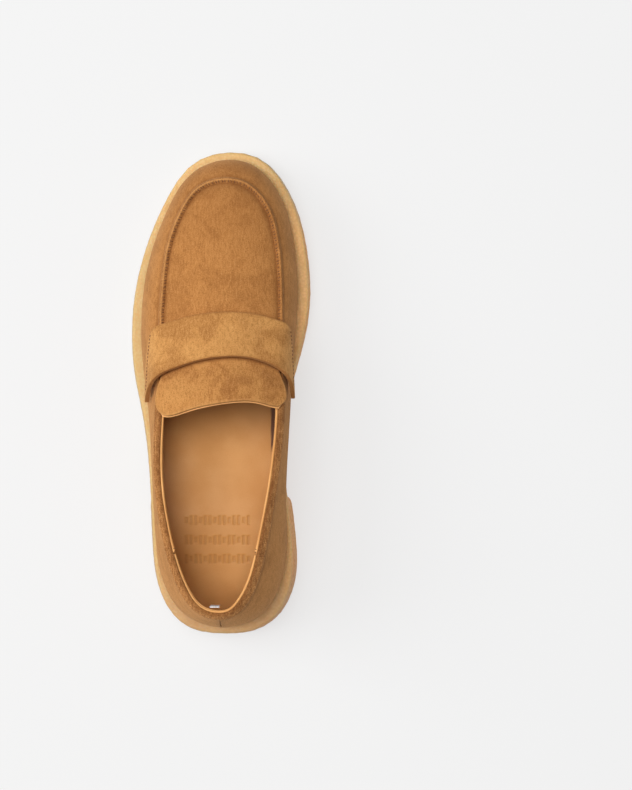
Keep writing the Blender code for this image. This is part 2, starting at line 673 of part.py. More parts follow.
def build_tongue():
    axis_y = TONGUE_AXIS_Y * GRADE_Y
    axis = (0.0, axis_y, float(top_height(np.array(0.003), np.array(axis_y))))
    pivot = bpy.data.objects.new("tongue_pivot", None)
    pivot.location = axis
    bpy.context.scene.collection.objects.link(pivot)
    shell("tongue", tongue_grid(0.0, 0.0), tongue_grid(0.0, -SUEDE), "suede",
          parent=pivot, origin=axis)
    depth = SUEDE + GAP
    shell("tongue_lining", tongue_grid(0.0, -depth), tongue_grid(0.0, -depth - 0.8 * LINING),
          "leather", parent=pivot, origin=axis)


def saddle_grid(offset, rows=6, trim=0.0):
    """The strap's surface, from its outer end over the instep to its inner end."""
    across = np.linspace(-1, 1, 29)
    front = open_spline(SADDLE[:, 0], SADDLE[:, 1], across) * GRADE_Y - trim
    rear = open_spline(SADDLE[:, 0], SADDLE[:, 2], across) * GRADE_Y + trim
    back = np.linspace(0, 1, rows)
    over_seam = np.exp(-(((np.abs(across) - SADDLE_SEAM) / 0.14) ** 2))[:, None]
    rise = offset + over_seam * (SEAM_RADIUS + (SADDLE_SWELL - SEAM_RADIUS) * back**2)
    grid = np.zeros((len(across), rows, 3))
    for i, a in enumerate(across):
        y = front[i] + (rear[i] - front[i]) * back
        side = LATERAL_SIDE if a < 0 else MEDIAL_SIDE
        if abs(a) <= SADDLE_SEAM:
            x_lateral, _, _ = edge_at(y, LATERAL_SIDE)
            x_medial, _, _ = edge_at(y, MEDIAL_SIDE)
            middle, half = (x_medial + x_lateral) / 2, (x_medial - x_lateral) / 2
            grid[i] = on_top(middle + half * a / SADDLE_SEAM, y, rise[i])
        else:
            ends = SADDLE_END_LATERAL if a < 0 else SADDLE_END_MEDIAL
            end = ends[0] + (ends[1] - ends[0]) * back**0.7
            down = (abs(a) - SADDLE_SEAM) / (1 - SADDLE_SEAM)
            _, _, stations = edge_at(y, side)
            settle = rise[i] - (SEAM_CLEAR - 2 * GAP) * smooth(0.2, 0.9, down)
            grid[i] = wall(stations, 1 - down * (1 - end), settle)
    for _ in range(2):
        grid[1:-1] = (grid[:-2] + 2 * grid[1:-1] + grid[2:]) / 4
    return grid


SEAM_CLEAR = 0.0016  # the strap passes this far above the apron


def build_saddle():
    """The strap: a leather backer, a suede face folded over it, and a stitch line at each end."""
    middle = SEAM_CLEAR + SADDLE_THICKNESS
    trim = 3 * GAP
    shell("saddle_backer", saddle_grid(middle, trim=trim)[1:-1],
          saddle_grid(SEAM_CLEAR, trim=trim)[1:-1], "leather")
    low = middle + 1.5 * GAP
    shell("saddle_strap", saddle_grid(low + SADDLE_THICKNESS), saddle_grid(low), "suede")
    outside = saddle_grid(low + SADDLE_THICKNESS + GAP + THREAD_RADIUS, rows=13)
    tube("saddle_thread_lateral", outside[1, 1:-1], THREAD_RADIUS, 1, "thread")
    tube("saddle_thread_medial", outside[-2, 1:-1], THREAD_RADIUS, 1, "thread")


def build_label():
    """A small woven label inside the heel, hanging from the lining's top."""
    shares = np.linspace(0.99, 0.99 - LABEL_HEIGHT / BACK_HEIGHT, 6)
    lining = wall(np.linspace(-1, 1, 41)[:, None], shares[None, :], -WALL_DEPTH)
    seam = lining[20]
    middle = seam[0, 0] - LABEL_ASIDE
    behind = np.abs(lining[..., 0] - middle) < 0.7 * LABEL_WIDTH
    y = np.where(behind, lining[..., 1], -LENGTH).max(0) + 2 * LAYER_GAP
    y += LABEL_TILT * np.linspace(0, 1, 6)
    back = [np.stack([0 * y + middle + side * LABEL_WIDTH / 2, y, seam[:, 2]], 1) for side in (-1, 1)]
    back = np.stack(back)
    shell("heel_label", back + (0, LABEL_THICKNESS, 0), back, "label")


def main():
    for obj in list(bpy.data.objects):
        bpy.data.objects.remove(obj, do_unlink=True)
    build_sole()
    build_bottom()
    build_side_wall()
    build_inner_layers()
    build_collar()
    build_apron()
    build_tongue()
    build_saddle()
    build_label()


main()
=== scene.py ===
import math

import bmesh
import bpy
import numpy as np
from mathutils import Matrix, Vector
from mathutils.bvhtree import BVHTree
from mathutils.kdtree import KDTree


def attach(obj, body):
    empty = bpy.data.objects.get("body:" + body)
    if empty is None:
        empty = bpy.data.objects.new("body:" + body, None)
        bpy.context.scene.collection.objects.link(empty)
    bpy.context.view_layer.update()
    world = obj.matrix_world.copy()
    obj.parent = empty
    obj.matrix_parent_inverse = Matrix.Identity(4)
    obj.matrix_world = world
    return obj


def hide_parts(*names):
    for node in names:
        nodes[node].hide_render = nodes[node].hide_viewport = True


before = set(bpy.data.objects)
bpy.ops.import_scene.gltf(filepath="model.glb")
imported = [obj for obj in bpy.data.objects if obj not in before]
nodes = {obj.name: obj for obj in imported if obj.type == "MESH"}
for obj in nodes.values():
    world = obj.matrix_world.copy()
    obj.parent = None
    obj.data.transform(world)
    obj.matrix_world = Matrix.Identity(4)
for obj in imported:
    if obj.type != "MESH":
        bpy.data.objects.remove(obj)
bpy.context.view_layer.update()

# Suede loafer on a crepe sole, the left shoe. +Y is the toe, +Z is up, +X is the inner side of the foot.
# Metres. The helpers come first, then the shader groups and finishes, then the pieces from the sole up.

scene = bpy.context.scene
mm = 0.001
mergeDistance = 0.002 * mm


def only(piece):
    bpy.ops.object.select_all(action="DESELECT")
    piece.select_set(True)
    bpy.context.view_layer.objects.active = piece


def edit(piece):
    only(piece)
    bpy.ops.object.mode_set(mode="EDIT")
    bpy.ops.mesh.select_all(action="SELECT")


def leaveEdit():
    bpy.ops.object.mode_set(mode="OBJECT")


def copyOf(node, name):
    # a merged copy of a CAD node's mesh, back in quads
    piece = nodes[node].copy()
    piece.data = nodes[node].data.copy()
    for key in list(piece.keys()):
        del piece[key]
    piece.parent = None
    piece.matrix_world = Matrix.Identity(4)
    piece.name = piece.data.name = name
    scene.collection.objects.link(piece)
    edit(piece)
    bpy.ops.mesh.customdata_custom_splitnormals_clear()
    bpy.ops.mesh.remove_doubles(threshold=mergeDistance)
    wide = math.radians(60)
    bpy.ops.mesh.tris_convert_to_quads(face_threshold=wide, shape_threshold=wide)
    leaveEdit()
    piece.data.materials.clear()
    return piece


def applied(piece):
    only(piece)
    for modifier in list(piece.modifiers):
        bpy.ops.object.modifier_apply(modifier=modifier.name)
    return piece


def softened(piece, width, segments, levels, limit):
    # rounds the edges sharper than limit degrees, then smooths the whole
    if width:
        bevel = piece.modifiers.new("edges", "BEVEL")
        bevel.width = width
        bevel.segments = segments
        bevel.limit_method = "ANGLE"
        bevel.angle_limit = math.radians(limit)
    if levels:
        smooth = piece.modifiers.new("smooth", "SUBSURF")
        smooth.levels = smooth.render_levels = levels
    return applied(piece)


def thickened(piece, thickness):
    # inwards from the sheet it starts as
    solid = piece.modifiers.new("thickness", "SOLIDIFY")
    solid.thickness = thickness
    solid.offset = -1
    solid.use_even_offset = True
    return applied(piece)


def rippled(piece, size, strength):
    # a slow unevenness in the form itself
    texture = bpy.data.textures.new(piece.name + "Ripple", "CLOUDS")
    texture.noise_scale = size
    texture.noise_depth = 1
    wave = piece.modifiers.new("ripple", "DISPLACE")
    wave.texture = texture
    wave.texture_coords = "LOCAL"
    wave.strength = strength
    wave.mid_level = 0.5
    return applied(piece)


def vertexVectors(piece, label):
    flat = np.zeros(len(piece.data.vertices) * 3, np.float32)
    piece.data.vertices.foreach_get(label, flat)
    return flat.reshape(-1, 3).astype(float)


def coordinates(piece):
    return vertexVectors(piece, "co")


def setCoordinates(piece, places):
    piece.data.vertices.foreach_set("co", np.asarray(places, np.float32).ravel())
    piece.data.update()


def smoothStep(low, high, value):
    share = np.clip((value - low) / (high - low), 0, 1)
    return share * share * (3 - 2 * share)


rimReading = {"sharp": math.radians(50), "every": 0.7 * mm}


def rimPoints(piece):
    # points along the sharp and the open edges
    shape = bmesh.new()
    shape.from_mesh(piece.data)
    found = []
    for edge in shape.edges:
        if len(edge.link_faces) == 2 and edge.calc_face_angle(0) < rimReading["sharp"]:
            continue
        a, b = edge.verts[0].co, edge.verts[1].co
        count = max(2, int((b - a).length / rimReading["every"]))
        found += [a.lerp(b, k / count) for k in range(count + 1)]
    shape.free()
    return found


def treeOf(points):
    tree = KDTree(len(points))
    for k, point in enumerate(points):
        tree.insert(point, k)
    tree.balance()
    return tree


def distanceTo(piece, points):
    tree = treeOf(points)
    return np.array([tree.find(v.co)[2] for v in piece.data.vertices])


def paint(piece, name, values):
    # one value for each vertex, or one for all; "rim" and "shade" are read by the finishes
    old = piece.data.attributes.get(name)
    layer = old or piece.data.attributes.new(name, "FLOAT", "POINT")
    everywhere = np.zeros(len(piece.data.vertices)) + values
    layer.data.foreach_set("value", everywhere.astype(np.float32))


def ringsAlong(node, isStart):
    # a long node's cross sections in order, each as an array of points
    shape = bmesh.new()
    shape.from_mesh(nodes[node].data)
    bmesh.ops.remove_doubles(shape, verts=shape.verts, dist=mergeDistance)
    ring = [v for v in shape.verts if isStart(v.co)]
    seen = set(ring)
    rings = []
    while ring:
        rings.append(np.array([v.co[:] for v in ring]))
        beyond = {e.other_vert(v) for v in ring for e in v.link_edges} - seen
        ring = sorted(beyond, key=lambda v: v.index)
        seen |= beyond
    shape.free()
    return rings


def throughPoints(points, count):
    # an even, smooth run of points through the given ones, as cubic curves
    points = np.asarray(points, float)
    steps = np.linalg.norm(np.diff(points, axis=0), axis=1)
    along = np.concatenate([[0], np.cumsum(steps)])
    slopes = np.gradient(points, along, axis=0)
    at = np.linspace(0, along[-1], count)
    k = np.clip(np.searchsorted(along, at, side="right") - 1, 0, len(steps) - 1)
    span = steps[k][:, None]
    t = ((at - along[k])[:, None]) / span
    return (
        (1 + 2 * t) * (1 - t) ** 2 * points[k] + t * (1 - t) ** 2 * span * slopes[k]
        + t * t * (3 - 2 * t) * points[k + 1] + t * t * (t - 1) * span * slopes[k + 1]
    )


def framesAlong(path):
    # the directions along, outwards and up at each point of a path that runs clockwise seen from above
    along = np.gradient(path, axis=0)
    along /= np.linalg.norm(along, axis=1)[:, None]
    side = np.cross((0.0, 0.0, 1.0), along)
    side /= np.linalg.norm(side, axis=1)[:, None]
    return along, side, np.cross(along, side)


def swept(name, path, profile, scales):
    # profile points (outwards, up) carried along the path, larger or smaller by scales
    along, side, rise = framesAlong(path)
    count, sides = len(path), len(profile)
    points = []
    for k in range(count):
        points += [path[k] + (side[k] * x + rise[k] * z) * scales[k] for x, z in profile]
    faces = []
    for k in range(count - 1):
        for j in range(sides):
            a, b = k * sides + j, (k + 1) * sides + j
            c, d = (k + 1) * sides + (j + 1) % sides, k * sides + (j + 1) % sides
            faces.append((a, b, c, d))
    faces += [tuple(range(sides))[::-1], tuple((count - 1) * sides + j for j in range(sides))]
    piece = fromPoints(name, points, faces)
    edit(piece)
    bpy.ops.mesh.normals_make_consistent(inside=False)
    leaveEdit()
    return piece


def fromPoints(name, points, faces):
    mesh = bpy.data.meshes.new(name)
    mesh.from_pydata([tuple(p) for p in points], [], faces)
    piece = bpy.data.objects.new(name, mesh)
    scene.collection.objects.link(piece)
    return piece


def smoothShaded(piece):
    only(piece)
    bpy.ops.object.shade_smooth()


def placed(piece, finish, body="shoe", replaces=None):
    # gives a new piece its finish and its body, and hides the CAD node that it stands for
    piece.data.materials.clear()
    piece.data.materials.append(finishes[finish])
    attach(piece, body)
    if replaces:
        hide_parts(replaces)
    return piece


def newGroup(name, inputs, outputs):
    group = bpy.data.node_groups.new(name, "ShaderNodeTree")
    for label, kind, value in inputs:
        socket = group.interface.new_socket(label, in_out="INPUT", socket_type=kind)
        if value is not None:
            socket.default_value = value
    for label, kind in outputs:
        group.interface.new_socket(label, in_out="OUTPUT", socket_type=kind)
    return group


def wire(tree, kind, settings=None, **links):
    # a node; a link's key is its input's name with _ for a space, or in1 for the input of that number
    node = tree.nodes.new("ShaderNode" + kind)
    for key, value in (settings or {}).items():
        setattr(node, key, value)
    for key, value in links.items():
        number = key[2:] if key[:2] == "in" and key[2:].isdigit() else None
        socket = node.inputs[int(number)] if number else node.inputs[key.replace("_", " ")]
        if isinstance(value, bpy.types.NodeSocket):
            tree.links.new(value, socket)
        else:
            socket.default_value = value
    return node


def mathNode(tree, operation, a, b=0.0):
    return wire(tree, "Math", {"operation": operation}, in0=a, in1=b).outputs[0]


def between(tree, value, low, high, newLow=0.0, newHigh=1.0):
    node = wire(tree, "MapRange", {"interpolation_type": "SMOOTHSTEP"}, in0=value)
    for k, number in enumerate((low, high, newLow, newHigh)):
        node.inputs[k + 1].default_value = number
    return node.outputs[0]


def mixed(tree, share, a, b):
    node = wire(tree, "Mix", {"data_type": "RGBA"}, Factor=share)
    for k, value in ((6, a), (7, b)):
        if isinstance(value, bpy.types.NodeSocket):
            tree.links.new(value, node.inputs[k])
        else:
            node.inputs[k].default_value = value
    return node.outputs[2]


def noise(tree, where, scale, detail=3.0, rough=0.5, distortion=0.0):
    node = wire(tree, "TexNoise", None, Vector=where, Scale=scale, Detail=detail,
                Roughness=rough, Distortion=distortion)
    return node.outputs["Fac"]


def colour(red, green, blue):
    # from the 0 to 255 values of a paint chart
    def linear(c):
        c /= 255
        return c / 12.92 if c <= 0.04045 else ((c + 0.055) / 1.055) ** 2.4
    return (linear(red), linear(green), linear(blue), 1.0)


def makeSuedeNap():
    # short brushed fibres: fine flecks, streaks laid along the brushing and broad shading where it turns
    group = newGroup(
        "suedeNap",
        [("Vector", "NodeSocketVector", None), ("Fleck Size", "NodeSocketFloat", 1.0)],
        [("Fleck", "NodeSocketFloat"), ("Brushing", "NodeSocketFloat"), ("Height", "NodeSocketFloat")],
    )
    start, end = group.nodes.new("NodeGroupInput"), group.nodes.new("NodeGroupOutput")
    where = start.outputs["Vector"]
    fine = wire(group, "VectorMath", {"operation": "SCALE"}, in0=where)
    group.links.new(start.outputs["Fleck Size"], fine.inputs["Scale"])
    fleck = noise(group, fine.outputs[0], 1500.0, 3.0, 0.62)
    streaks = wire(group, "Mapping", None, Vector=fine.outputs[0], Rotation=(0.2, 0.1, 0.5),
                   Scale=(1.0, 0.28, 0.6)).outputs[0]
    lie = noise(group, streaks, 900.0, 2.0, 0.5)
    both = mathNode(group, "ADD", mathNode(group, "MULTIPLY", fleck, 0.65),
                    mathNode(group, "MULTIPLY", lie, 0.35))
    broad = noise(group, where, 55.0, 3.0, 0.55, 0.6)
    small = noise(group, where, 210.0, 2.0, 0.5, 0.4)
    brushing = mathNode(group, "ADD", mathNode(group, "MULTIPLY", broad, 0.85),
                        mathNode(group, "MULTIPLY", small, 0.15))
    group.links.new(between(group, both, 0.3, 0.7), end.inputs["Fleck"])
    group.links.new(between(group, brushing, 0.36, 0.64), end.inputs["Brushing"])
    group.links.new(both, end.inputs["Height"])
    return group


def makeLeatherGrain():
    # fine pored grain of smooth lining leather
    group = newGroup(
        "leatherGrain",
        [("Vector", "NodeSocketVector", None), ("Scale", "NodeSocketFloat", 1.0)],
        [("Tone", "NodeSocketFloat"), ("Height", "NodeSocketFloat")],
    )
    start, end = group.nodes.new("NodeGroupInput"), group.nodes.new("NodeGroupOutput")
    sized = wire(group, "VectorMath", {"operation": "SCALE"}, in0=start.outputs["Vector"])
    group.links.new(start.outputs["Scale"], sized.inputs["Scale"])
    cells = wire(group, "TexVoronoi", {"feature": "DISTANCE_TO_EDGE"}, Vector=sized.outputs[0],
                 Scale=1300.0).outputs["Distance"]
    pores = noise(group, sized.outputs[0], 2200.0, 2.0, 0.5)
    slow = noise(group, start.outputs["Vector"], 34.0, 3.0, 0.5)
    height = mathNode(group, "ADD", mathNode(group, "MULTIPLY", cells, 0.5),
                      mathNode(group, "MULTIPLY", pores, 0.5))
    tone = mathNode(group, "ADD", mathNode(group, "MULTIPLY", slow, 0.75),
                    mathNode(group, "MULTIPLY", pores, 0.25))
    group.links.new(between(group, tone, 0.35, 0.65), end.inputs["Tone"])
    group.links.new(height, end.inputs["Height"])
    return group


def makeCrepeCurd():
    # the pebbled skin of natural crepe rubber, drawn out a little along the sheet
    group = newGroup(
        "crepeCurd",
        [("Vector", "NodeSocketVector", None), ("Size", "NodeSocketFloat", 1.0)],
        [("Curd", "NodeSocketFloat"), ("Cloud", "NodeSocketFloat"), ("Height", "NodeSocketFloat")],
    )
    start, end = group.nodes.new("NodeGroupInput"), group.nodes.new("NodeGroupOutput")
    sized = wire(group, "VectorMath", {"operation": "SCALE"}, in0=start.outputs["Vector"])
    group.links.new(start.outputs["Size"], sized.inputs["Scale"])
    warp = wire(group, "TexNoise", None, Vector=sized.outputs[0], Scale=260.0, Detail=2.0)
    bent = wire(group, "VectorMath", {"operation": "MULTIPLY_ADD"}, in0=warp.outputs["Color"],
                in1=(0.0022, 0.0022, 0.0022), in2=sized.outputs[0]).outputs[0]
    flat = wire(group, "Mapping", None, Vector=bent, Scale=(1.0, 1.0, 1.5)).outputs[0]
    curd = wire(group, "TexVoronoi", {"feature": "SMOOTH_F1"}, Vector=flat, Scale=430.0,
                Smoothness=0.6).outputs["Distance"]
    fine = noise(group, flat, 1100.0, 3.0, 0.6)
    cloud = noise(group, start.outputs["Vector"], 45.0, 3.0, 0.6, 0.5)
    height = mathNode(group, "SUBTRACT", mathNode(group, "MULTIPLY", fine, 0.45), curd)
    group.links.new(between(group, curd, 0.15, 0.75), end.inputs["Curd"])
    group.links.new(between(group, cloud, 0.34, 0.66), end.inputs["Cloud"])
    group.links.new(height, end.inputs["Height"])
    return group


def makeTapeWeave():
    # a fine plain weave
    group = newGroup(
        "tapeWeave",
        [("Vector", "NodeSocketVector", None), ("Threads", "NodeSocketFloat", 1400.0)],
        [("Thread", "NodeSocketFloat"), ("Height", "NodeSocketFloat")],
    )
    start, end = group.nodes.new("NodeGroupInput"), group.nodes.new("NodeGroupOutput")
    parts = wire(group, "SeparateXYZ", None, Vector=start.outputs["Vector"])
    turns = mathNode(group, "MULTIPLY", start.outputs["Threads"], 2 * math.pi)
    warpWay = mathNode(group, "SINE", mathNode(group, "MULTIPLY", parts.outputs[0], turns))
    weftWay = mathNode(group, "SINE", mathNode(group, "MULTIPLY", parts.outputs[2], turns))
    crossed = mathNode(group, "MULTIPLY", warpWay, weftWay)
    group.links.new(between(group, crossed, -1.0, 1.0), end.inputs["Thread"])
    group.links.new(mathNode(group, "ABSOLUTE", crossed), end.inputs["Height"])
    return group


groups = {
    "nap": makeSuedeNap(), "grain": makeLeatherGrain(), "curd": makeCrepeCurd(), "weave": makeTapeWeave(),
}
print("shader groups ready")


def newMaterial(name):
    made = bpy.data.materials.new(name)
    made.use_nodes = True
    tree = made.node_tree
    tree.nodes.clear()
    shader = tree.nodes.new("ShaderNodeBsdfPrincipled")
    out = tree.nodes.new("ShaderNodeOutputMaterial")
    tree.links.new(shader.outputs[0], out.inputs[0])
    return made, tree, shader


def grouped(tree, name, **values):
    node = tree.nodes.new("ShaderNodeGroup")
    node.node_tree = groups[name]
    for key, value in values.items():
        node.inputs[key.replace("_", " ")].default_value = value
    spots = tree.nodes.new("ShaderNodeTexCoord")
    tree.links.new(spots.outputs["Object"], node.inputs["Vector"])
    return node


def attribute(tree, name):
    return wire(tree, "Attribute", {"attribute_name": name}).outputs["Fac"]


def bumped(tree, shader, height, strength, distance):
    bump = wire(tree, "Bump", None, Height=height, Strength=strength, Distance=distance)
    tree.links.new(bump.outputs[0], shader.inputs["Normal"])


nap = {
    "lightPatches": 0.5, "deepPatches": 0.17, "deepFlecks": 0.5, "tipFlecks": 0.45,
    "toeFacingShade": 0.2, "rim": 0.35, "shade": 0.7,
    "roughLow": 0.86, "roughHigh": 0.98, "specular": 0.1,
    "sheen": 0.32, "sheenRoughness": 0.55, "sheenTint": colour(222, 184, 134),
    "bump": 0.75, "bumpDepth": 0.4 * mm,
}


def suede(name, deep, middle, light, tip, contrast=1.0, clouds=1.0, edge=None):
    made, tree, shader = newMaterial(name)
    pile = grouped(tree, "nap", Fleck_Size=1.0)
    brushing, fleck = pile.outputs["Brushing"], pile.outputs["Fleck"]

    def washed(base, mask, share, tone):
        return mixed(tree, mathNode(tree, "MULTIPLY", mask, share), base, tone)

    base = washed(middle, brushing, nap["lightPatches"] * clouds, light)
    base = washed(base, between(tree, brushing, 0.0, 0.6, 1.0, 0.0), nap["deepPatches"] * clouds, deep)
    base = washed(base, between(tree, fleck, 0.05, 0.55, 1.0, 0.0), nap["deepFlecks"] * contrast, deep)
    base = washed(base, between(tree, fleck, 0.55, 1.0), nap["tipFlecks"] * contrast, tip)
    # painted shade: faces that look towards the toe are a little darker
    facing = wire(tree, "SeparateXYZ", None, Vector=wire(tree, "NewGeometry").outputs["Normal"])
    base = washed(base, between(tree, facing.outputs[1], 0.05, 0.75), nap["toeFacingShade"], deep)
    # near the edges the piece's edge tone: a painted highlight on the seam's crest and the tongue's rolled
    # edge, elsewhere the deep tone
    base = washed(base, attribute(tree, "rim"), nap["rim"], edge or deep)
    # painted shade wherever the piece's shade attribute is set
    base = washed(base, attribute(tree, "shade"), nap["shade"], deep)
    tree.links.new(base, shader.inputs["Base Color"])
    tree.links.new(between(tree, fleck, 0.0, 1.0, nap["roughHigh"], nap["roughLow"]),
                   shader.inputs["Roughness"])
    shader.inputs["Specular IOR Level"].default_value = nap["specular"]
    shader.inputs["Sheen Weight"].default_value = nap["sheen"]
    shader.inputs["Sheen Roughness"].default_value = nap["sheenRoughness"]
    shader.inputs["Sheen Tint"].default_value = nap["sheenTint"]
    bumped(tree, shader, pile.outputs["Height"], nap["bump"], nap["bumpDepth"])
    return made


def smoothLeather(name, dark, light, roughness, edge, deep=colour(126, 76, 38)):
    made, tree, shader = newMaterial(name)
    grain = grouped(tree, "grain", Scale=1.0)
    base = mixed(tree, grain.outputs["Tone"], dark, light)
    base = mixed(tree, attribute(tree, "rim"), base, edge)
    # the deep tone wherever the piece's shade attribute is set: on the sock, its pressed rows and painted
    # shade
    base = mixed(tree, attribute(tree, "shade"), base, deep)
    tree.links.new(base, shader.inputs["Base Color"])
    tree.links.new(between(tree, grain.outputs["Tone"], 0.0, 1.0, roughness + 0.06, roughness - 0.05),
                   shader.inputs["Roughness"])
    shader.inputs["Specular IOR Level"].default_value = 0.25
    bumped(tree, shader, grain.outputs["Height"], 0.25, 0.0001)
    return made


rubber = {
    "curdSize": 1.5, "outerFrom": -45 * mm, "innerFrom": 50 * mm, "toeFrom": 90 * mm, "toeTo": 140 * mm,
    "heelFrom": -90 * mm, "heelTo": -140 * mm, "heelShare": 0.7, "paleClouds": 0.3, "darkCurds": 0.3,
    "depth": 0.2, "depthRadius": (0.004, 0.0022, 0.001), "bump": 0.4, "bumpDepth": 0.4 * mm,
}


def crepeRubber(name, dark, outer, inner, pale, toe, heel):
    # painted light and shade: the tone shifts round the shoe, from the outer to the inner side, and at the
    # toe and the heel
    made, tree, shader = newMaterial(name)
    curd = grouped(tree, "curd", Size=rubber["curdSize"])
    spots = wire(tree, "TexCoord").outputs["Object"]
    across, along = wire(tree, "SeparateXYZ", None, Vector=spots).outputs[:2]
    base = mixed(tree, between(tree, across, rubber["outerFrom"], rubber["innerFrom"]), outer, inner)
    base = mixed(tree, between(tree, along, rubber["toeFrom"], rubber["toeTo"]), base, toe)
    heelward = between(tree, along, rubber["heelTo"], rubber["heelFrom"], rubber["heelShare"], 0.0)
    base = mixed(tree, heelward, base, heel)
    base = mixed(tree, mathNode(tree, "MULTIPLY", curd.outputs["Cloud"], rubber["paleClouds"]), base, pale)
    base = mixed(tree, mathNode(tree, "MULTIPLY", curd.outputs["Curd"], rubber["darkCurds"]), base, dark)
    tree.links.new(base, shader.inputs["Base Color"])
    tree.links.new(between(tree, curd.outputs["Curd"], 0.0, 1.0, 0.55, 0.75), shader.inputs["Roughness"])
    shader.inputs["Specular IOR Level"].default_value = 0.35
    shader.inputs["Subsurface Weight"].default_value = rubber["depth"]
    shader.inputs["Subsurface Radius"].default_value = rubber["depthRadius"]
    shader.inputs["Subsurface Scale"].default_value = 1.0
    bumped(tree, shader, curd.outputs["Height"], rubber["bump"], rubber["bumpDepth"])
    return made


def plainGrained(name, dark, light, roughness, groupName="grain", metallic=0.0, strength=0.3, **values):
    # for the board, foam, cork and steel inside the shoe
    made, tree, shader = newMaterial(name)
    grain = grouped(tree, groupName, **values)
    tone = grain.outputs[0]
    tree.links.new(mixed(tree, tone, dark, light), shader.inputs["Base Color"])
    tree.links.new(between(tree, tone, 0.0, 1.0, roughness - 0.06, roughness + 0.06),
                   shader.inputs["Roughness"])
    shader.inputs["Metallic"].default_value = metallic
    bumped(tree, shader, grain.outputs["Height"], strength, 0.0002)
    return made


def twistedThread(name, dark, light):
    made, tree, shader = newMaterial(name)
    grain = grouped(tree, "nap", Fleck_Size=1.6)
    tree.links.new(mixed(tree, grain.outputs["Fleck"], dark, light), shader.inputs["Base Color"])
    tree.links.new(between(tree, grain.outputs["Fleck"], 0.0, 1.0, 0.8, 0.62), shader.inputs["Roughness"])
    bumped(tree, shader, grain.outputs["Height"], 0.4, 0.0002)
    return made


def wovenTape(name, ground, thread):
    made, tree, shader = newMaterial(name)
    weave = grouped(tree, "weave", Threads=2600.0)
    tree.links.new(mixed(tree, weave.outputs["Thread"], ground, thread), shader.inputs["Base Color"])
    tree.links.new(between(tree, weave.outputs["Height"], 0.0, 1.0, 0.85, 0.6), shader.inputs["Roughness"])
    bumped(tree, shader, weave.outputs["Height"], 0.5, 0.00012)
    return made


finishes = {
    "upperSuede": suede("tanSuede", colour(118, 70, 32), colour(180, 121, 65), colour(191, 132, 74),
                        colour(212, 154, 94), 0.8),
    # seamSuede's last tone is the painted highlight on the seam's crest
    "seamSuede": suede("seamSuede", colour(112, 66, 30), colour(178, 119, 64), colour(190, 131, 74),
                       colour(212, 154, 94), 1.2, 1.0, colour(216, 160, 100)),
    "strapSuede": suede("strapSuede", colour(136, 84, 40), colour(194, 137, 76), colour(208, 151, 87),
                        colour(226, 171, 108), 0.95, 1.7),
    # tongueSuede's last tone is a painted highlight along the tongue's rolled edge
    "tongueSuede": suede("tongueSuede", colour(122, 72, 34), colour(188, 128, 69), colour(202, 144, 81),
                         colour(220, 162, 100), 0.95, 1.7, colour(208, 153, 92)),
    "collarSuede": suede("collarSuede", colour(98, 56, 27), colour(170, 113, 62), colour(184, 126, 71),
                         colour(226, 168, 106), 1.45),
    "lining": smoothLeather("liningLeather", colour(176, 114, 58), colour(194, 132, 72), 0.55,
                            colour(232, 172, 106)),
    "toplineEdge": smoothLeather("toplineLeather", colour(214, 150, 84), colour(232, 172, 104), 0.5,
                                 colour(240, 184, 118)),
    # the sock's last tone is the deep tone of its painted shade
    "sock": smoothLeather("sockLeather", colour(202, 141, 74), colour(213, 153, 84), 0.5,
                          colour(226, 166, 96), colour(92, 55, 30)),
    # in each crepe finish the outer, inner, toe and heel tones are painted light and shade; the dark and
    # pale tones are the rubber's own
    "crepe": crepeRubber("crepeMidsole", colour(200, 150, 92), colour(206, 174, 116), colour(252, 198, 130),
                         colour(226, 196, 142), colour(222, 182, 120), colour(196, 152, 110)),
    "crepeOuter": crepeRubber("crepeOutsole", colour(196, 148, 98), colour(190, 164, 126),
                              colour(255, 188, 118), colour(222, 196, 152), colour(222, 200, 168),
                              colour(206, 152, 118)),
    "heelCrepe": crepeRubber("crepeHeel", colour(180, 130, 84), colour(186, 152, 112),
                             colour(255, 188, 124), colour(220, 182, 138), colour(222, 182, 130),
                             colour(208, 152, 118)),
    "thread": twistedThread("tanThread", colour(82, 47, 22), colour(146, 94, 50)),
    "board": plainGrained("insoleBoard", colour(176, 150, 112), colour(200, 176, 138), 0.85),
    "stiffener": plainGrained("stiffenerSheet", colour(196, 180, 150), colour(220, 206, 180), 0.8),
    "foam": plainGrained("latexFoam", colour(214, 206, 186), colour(234, 228, 212), 0.9, "curd", Size=2.2),
    "cork": plainGrained("corkFiller", colour(120, 78, 44), colour(190, 142, 92), 0.88, "curd", Size=1.2,
                         strength=0.6),
    "steel": plainGrained("shankSteel", colour(150, 152, 156), colour(196, 198, 202), 0.34, metallic=1.0,
                          strength=0.1),
    "tape": wovenTape("labelTape", colour(238, 240, 244), colour(253, 253, 254)),
}
print("finishes ready")


view = {
    "place": (0.0589, -0.0009, 1.2),  # straight above, between this shoe and where its mate would stand
    "lens": 87.52, "sensor": 36.0,
}


def addCamera():
    data = bpy.data.cameras.new("camera")
    data.lens = view["lens"]
    data.sensor_width = view["sensor"]
    data.sensor_fit = "AUTO"
    camera = bpy.data.objects.new("camera", data)
    camera.location = view["place"]
    scene.collection.objects.link(camera)
    scene.camera = camera


light = {
    "sky": (1.0, 1.0, 1.0, 1.0), "skyStrength": 0.17,
    "keyPlace": (-3.0, 0.5, 2.6), "keySize": 2.4, "keyPower": 74.0,
    "topPlace": (-0.3, 0.18, 2.3), "topSize": 1.4, "topPower": 41.0,
    "aim": (0.0, 0.0, 0.03), "floorSize": 6.0, "floorTone": 0.25, "floorGlow": 0.62,
}


def addAreaLight(name, place, size, power):
    data = bpy.data.lights.new(name, "AREA")
    data.shape = "SQUARE"
    data.size = size
    data.energy = power
    lamp = bpy.data.objects.new(name, data)
    lamp.location = place
    aim = Vector(light["aim"]) - Vector(place)
    lamp.rotation_euler = aim.to_track_quat("-Z", "Y").to_euler()
    scene.collection.objects.link(lamp)


